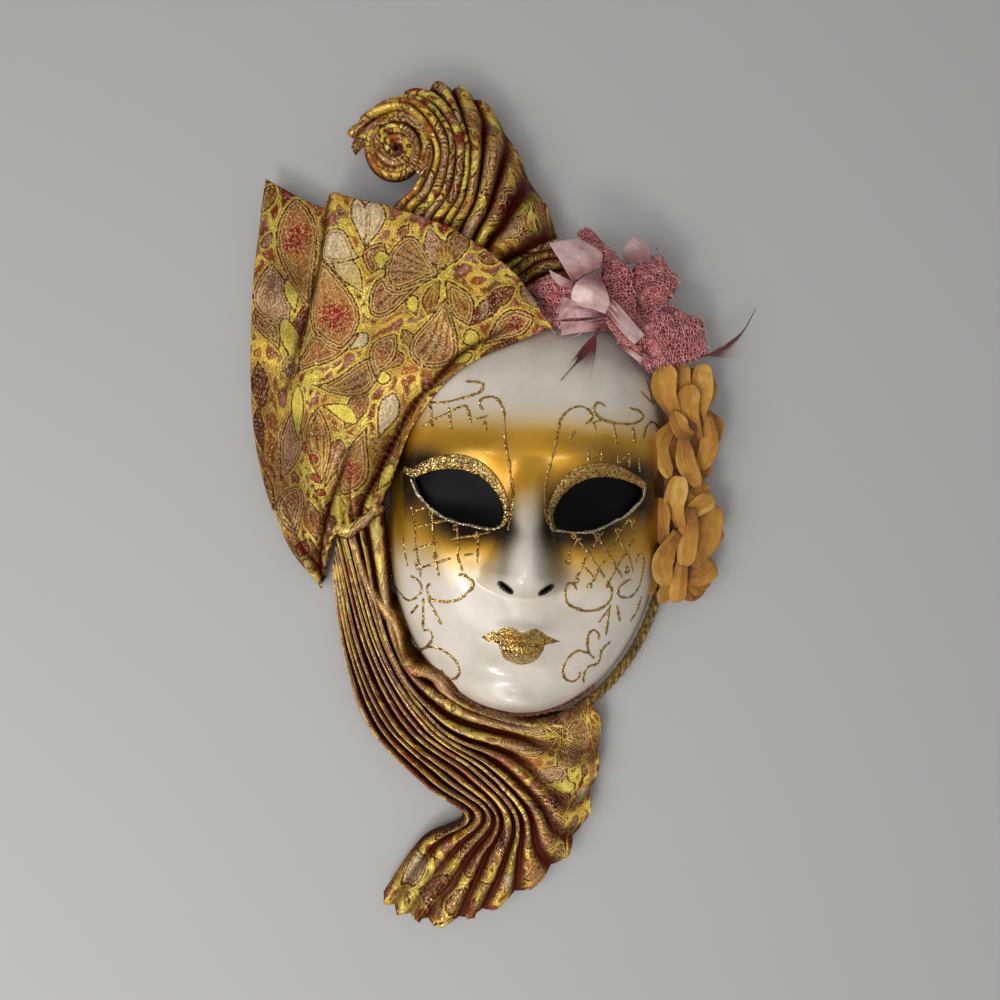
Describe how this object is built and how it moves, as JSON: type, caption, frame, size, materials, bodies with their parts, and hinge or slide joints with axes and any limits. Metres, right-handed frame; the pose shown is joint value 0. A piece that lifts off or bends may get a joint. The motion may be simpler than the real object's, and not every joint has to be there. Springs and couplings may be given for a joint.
{
  "type": "venetian mask",
  "caption": "Full-face carnival mask with gilt eye lids and lips, pleated brocade fans at one side, twisted cord, cloth flowers and feathers at the other.",
  "frame": {"origin": "middle of the bounding box on the plane of the rim, which the mask lies on", "axes": "+X across the face towards the flowers, +Y up the face from chin to forehead, +Z out of the face"},
  "size_m": [0.2918, 0.472, 0.081],
  "materials": {
    "pearl_lacquer": "glossy pearl white lacquer with gold and dark airbrush round the eyes",
    "gold_glitter": "coarse gold glitter in clear glue",
    "dark_lining": "black satin",
    "brocade": "woven brocade with metallic thread",
    "gilt_cord": "twisted metallic thread",
    "yellow_petals": "dyed matte petals",
    "pink_gauze": "crumpled open gauze",
    "pink_satin": "satin ribbon",
    "red_feather": "dyed feather"
  },
  "bodies": {
    "root": {"face_shell": "pearl_lacquer", "eye_lining_left": "dark_lining", "eye_lining_right": "dark_lining", "brocade_fan": "brocade", "brocade_sweep": "brocade", "brocade_curl": "brocade", "edge_piping": "brocade", "gilt_cord": "gilt_cord", "yellow_flower_upper": "yellow_petals", "yellow_flower_lower": "yellow_petals", "pink_gauze_flower": "pink_gauze", "pink_satin_petals": "pink_satin", "feather_front": "red_feather", "feather_side": "red_feather"}
  },
  "joints": []
}
